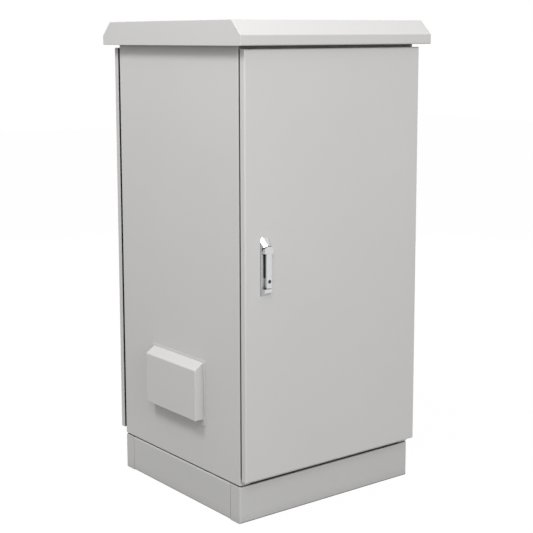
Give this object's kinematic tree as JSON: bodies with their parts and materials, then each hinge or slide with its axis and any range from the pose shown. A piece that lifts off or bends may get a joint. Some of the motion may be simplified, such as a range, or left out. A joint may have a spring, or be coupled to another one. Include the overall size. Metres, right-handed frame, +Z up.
{
  "type": "roadside utility cabinet",
  "caption": "Free-standing outdoor equipment cabinet of folded sheet steel with a locking overlay door, side vent hood, canopy roof, plinth and rack rails inside.",
  "frame": {"origin": "floor level under the middle of the plinth, at the centre of the floor anchors", "axes": "+Z up, -Y out of the door, -X out of the side with the vent hood"},
  "size_m": [0.653, 0.65, 1.3],
  "materials": {
    "powder_coat": "light grey powder coat, fine satin texture",
    "zinc_steel": "zinc-plated",
    "chrome": "polished chrome on die casting",
    "black_rubber": "closed-cell foam rubber",
    "black_plastic": "moulded, matt",
    "filter_felt": "fibre filter mat",
    "copper": "bare copper bar"
  },
  "bodies": {
    "cabinet": {"plinth_front": "powder_coat", "plinth_rear": "powder_coat", "plinth_left_panel": "powder_coat", "plinth_right_panel": "powder_coat", "floor_plate": "powder_coat", "left_side_panel": "powder_coat", "right_side_panel": "powder_coat", "top_plate": "powder_coat", "rear_panel": "powder_coat", "roof_canopy": "powder_coat", "vent_hood": "powder_coat", "plinth_nuts": "zinc_steel", "base_bolts": "zinc_steel", "base_nuts": "zinc_steel", "gland_plate": "zinc_steel", "gland_plate_screws": "zinc_steel", "rear_panel_nuts": "zinc_steel", "roof_spacers": "zinc_steel", "roof_bolts": "zinc_steel", "roof_nuts": "zinc_steel", "inlet_mesh": "zinc_steel", "vent_nuts": "zinc_steel", "fan_guard": "zinc_steel", "fan_screws": "zinc_steel", "left_upper_bracket": "zinc_steel", "left_lower_bracket": "zinc_steel", "right_upper_bracket": "zinc_steel", "right_lower_bracket": "zinc_steel", "left_front_rail": "zinc_steel", "right_front_rail": "zinc_steel", "left_rear_rail": "zinc_steel", "right_rear_rail": "zinc_steel", "rail_bolts": "zinc_steel", "rail_nuts": "zinc_steel", "earth_posts": "zinc_steel", "earth_screws": "zinc_steel", "hinge_body_leaves": "zinc_steel", "hinge_pins": "zinc_steel", "plinth_seal": "black_rubber", "cable_grommets": "black_rubber", "rear_gasket": "black_rubber", "filter_frame": "black_plastic", "fan_housing": "black_plastic", "filter_mat": "filter_felt", "earth_bar": "copper"},
    "door": {"front_door": "powder_coat", "door_gasket": "black_rubber", "door_stiffeners": "powder_coat", "hinge_door_leaves": "zinc_steel", "handle_base": "chrome", "handle_screws": "zinc_steel", "rod_guides": "zinc_steel"},
    "handle": {"handle_spindle": "zinc_steel", "latch_cam": "zinc_steel"},
    "lever": {"handle_lever": "chrome", "lever_pin": "zinc_steel"},
    "key_plug": {"lock_plug": "chrome"},
    "upper_latch_rod": {"upper_rod": "zinc_steel"},
    "lower_latch_rod": {"lower_rod": "zinc_steel"},
    "fan": {"fan_rotor": "black_plastic"}
  },
  "joints": [
    {"name": "door_swing", "type": "hinge", "parent": "cabinet", "child": "door", "pos_m": [0.2973, -0.284, 0.673], "axis": [0, 0, 1], "range_deg": [0, 115]},
    {"name": "handle_turn", "type": "hinge", "parent": "door", "child": "handle", "pos_m": [-0.237, -0.306, 0.7177], "axis": [0, -1, 0], "range_deg": [0, 90]},
    {"name": "lever_lift", "type": "hinge", "parent": "handle", "child": "lever", "pos_m": [-0.237, -0.3155, 0.7177], "axis": [-1, 0, 0], "range_deg": [0, 25]},
    {"name": "key_turn", "type": "hinge", "parent": "lever", "child": "key_plug", "pos_m": [-0.23435, -0.322, 0.643], "axis": [0, -1, 0], "range_deg": [0, 90]},
    {"name": "upper_rod_slide", "type": "slide", "parent": "door", "child": "upper_latch_rod", "axis": [0, 0, -1], "range_m": [0, 0.0284]},
    {"name": "lower_rod_slide", "type": "slide", "parent": "door", "child": "lower_latch_rod", "axis": [0, 0, 1], "range_m": [0, 0.0284]},
    {"name": "fan_spin", "type": "hinge", "parent": "cabinet", "child": "fan", "pos_m": [-0.262, 0, 0.318], "axis": [1, 0, 0], "continuous": true}
  ],
  "couplings": [
    {"joint": "upper_rod_slide", "follows": "handle_turn", "m_per_rad": 0.018006},
    {"joint": "lower_rod_slide", "follows": "handle_turn", "m_per_rad": 0.018006}
  ]
}
